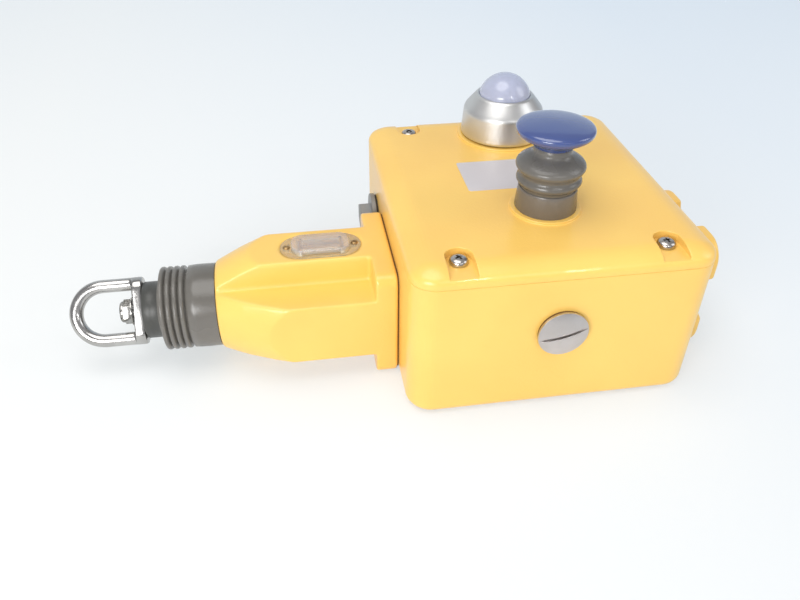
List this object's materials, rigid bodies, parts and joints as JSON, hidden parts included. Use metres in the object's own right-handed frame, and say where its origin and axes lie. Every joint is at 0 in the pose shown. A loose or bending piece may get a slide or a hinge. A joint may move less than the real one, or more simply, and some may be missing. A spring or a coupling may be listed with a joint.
{
  "type": "rope pull safety switch",
  "caption": "Die-cast machine safety switch tripped by a pull rope: spring head with tension window, swivel bow, reset knob, lamp and cable entries.",
  "frame": {"origin": "centre of the four mounting holes, on the mounting face", "axes": "+X along the rope axis away from the bow, +Z out of the mounting face towards the cover, +Y away from the front entry"},
  "size_m": [0.2954, 0.1492, 0.1157],
  "materials": {
    "yellow_paint": "gloss powder coat",
    "black_rubber": "matt",
    "zinc_steel": "zinc plated",
    "bare_steel": "turned",
    "chrome_steel": "polished plate",
    "nut_steel": "zinc plated",
    "spring_steel": "drawn wire",
    "bronze": "sintered, matt",
    "grey_rubber": "matt",
    "grey_plastic": "moulded",
    "clear_plastic": "clear moulding",
    "frosted_dome": "frosted lens",
    "satin_aluminium": "satin turned",
    "nickel_brass": "nickel plate",
    "black_plastic": "moulded",
    "blue_plastic": "semi-gloss moulding",
    "white_plastic": "acetal",
    "red_plastic": "moulded",
    "green_plastic": "moulded",
    "lamp_board": "solder mask",
    "terminal_brass": "plated",
    "plain_label": "satin foil, bare"
  },
  "bodies": {
    "box": {"base_housing": "yellow_paint", "cover": "yellow_paint", "cover_gasket": "black_rubber", "cover_screws": "zinc_steel", "label": "plain_label", "head_housing": "yellow_paint", "head_gasket": "black_rubber", "head_screws": "zinc_steel", "window_lens": "clear_plastic", "window_screws": "zinc_steel", "front_bush": "bronze", "rear_bush": "bronze", "main_spring": "spring_steel", "rope_boot": "grey_rubber", "front_plug": "nickel_brass", "front_plug_seal": "black_rubber", "side_plug": "grey_plastic", "side_plug_seal": "black_rubber", "end_cap": "yellow_paint", "end_cap_gasket": "black_rubber", "end_cap_screws": "zinc_steel", "end_bush": "bronze", "beacon_body": "black_plastic", "beacon_bezel": "satin_aluminium", "beacon_dome": "frosted_dome", "beacon_lamp": "lamp_board", "beacon_seal": "black_rubber", "beacon_nut": "black_plastic", "reset_boot": "grey_rubber", "reset_bush": "grey_plastic", "reset_nut": "black_plastic", "reset_spring": "spring_steel", "mechanism_plate": "zinc_steel", "plate_screws": "zinc_steel", "latch_pin": "bare_steel", "latch_spring": "spring_steel", "contact_blocks": "black_plastic", "terminal_screws": "terminal_brass", "earth_screw": "terminal_brass"},
    "rope_line": {"rope_shaft": "bare_steel", "spring_collar": "bare_steel", "indicator_sleeve": "grey_plastic", "cam_block": "white_plastic", "latch_ring": "bare_steel", "bow_washer": "nut_steel", "bow_nut": "nut_steel"},
    "bow": {"rope_bow": "chrome_steel"},
    "reset_knob": {"reset_cap": "blue_plastic", "reset_stem": "bare_steel"},
    "latch": {"latch_lever": "bare_steel"},
    "pull_plunger": {"plunger_a": "red_plastic"},
    "slack_plunger": {"plunger_b": "green_plastic"}
  },
  "joints": [
    {"name": "rope_pull", "type": "slide", "parent": "box", "child": "rope_line", "axis": [-1, 0, 0], "range_m": [0, 0.012], "stiffness_N_per_m": 5000, "springref_m": -0.003, "deforming": ["main_spring", "rope_boot"]},
    {"name": "bow_swivel", "type": "hinge", "parent": "rope_line", "child": "bow", "pos_m": [-0.1813, -0.0134, 0.02725], "axis": [1, 0, 0], "continuous": true},
    {"name": "reset_press", "type": "slide", "parent": "box", "child": "reset_knob", "axis": [0, 0, -1], "range_m": [0, 0.005], "stiffness_N_per_m": 900, "springref_m": -0.003, "deforming": ["reset_spring", "reset_boot"]},
    {"name": "latch_swing", "type": "hinge", "parent": "box", "child": "latch", "pos_m": [0.026, -0.0134, 0.044], "axis": [0, -1, 0], "range_deg": [0, 11.8], "deforming": ["latch_spring"]},
    {"name": "pull_plunger_slide", "type": "slide", "parent": "box", "child": "pull_plunger", "axis": [0, 1, 0], "range_m": [0, 0.00385]},
    {"name": "slack_plunger_slide", "type": "slide", "parent": "box", "child": "slack_plunger", "axis": [0, -1, 0], "range_m": [0, 0.00385]}
  ],
  "couplings": [
    {"joint": "latch_swing", "follows": "reset_press", "rad_per_m": 40.8},
    {"joint": "pull_plunger_slide", "follows": "rope_pull", "ratio": 0.32},
    {"joint": "slack_plunger_slide", "follows": "rope_pull", "ratio": 0.32}
  ]
}
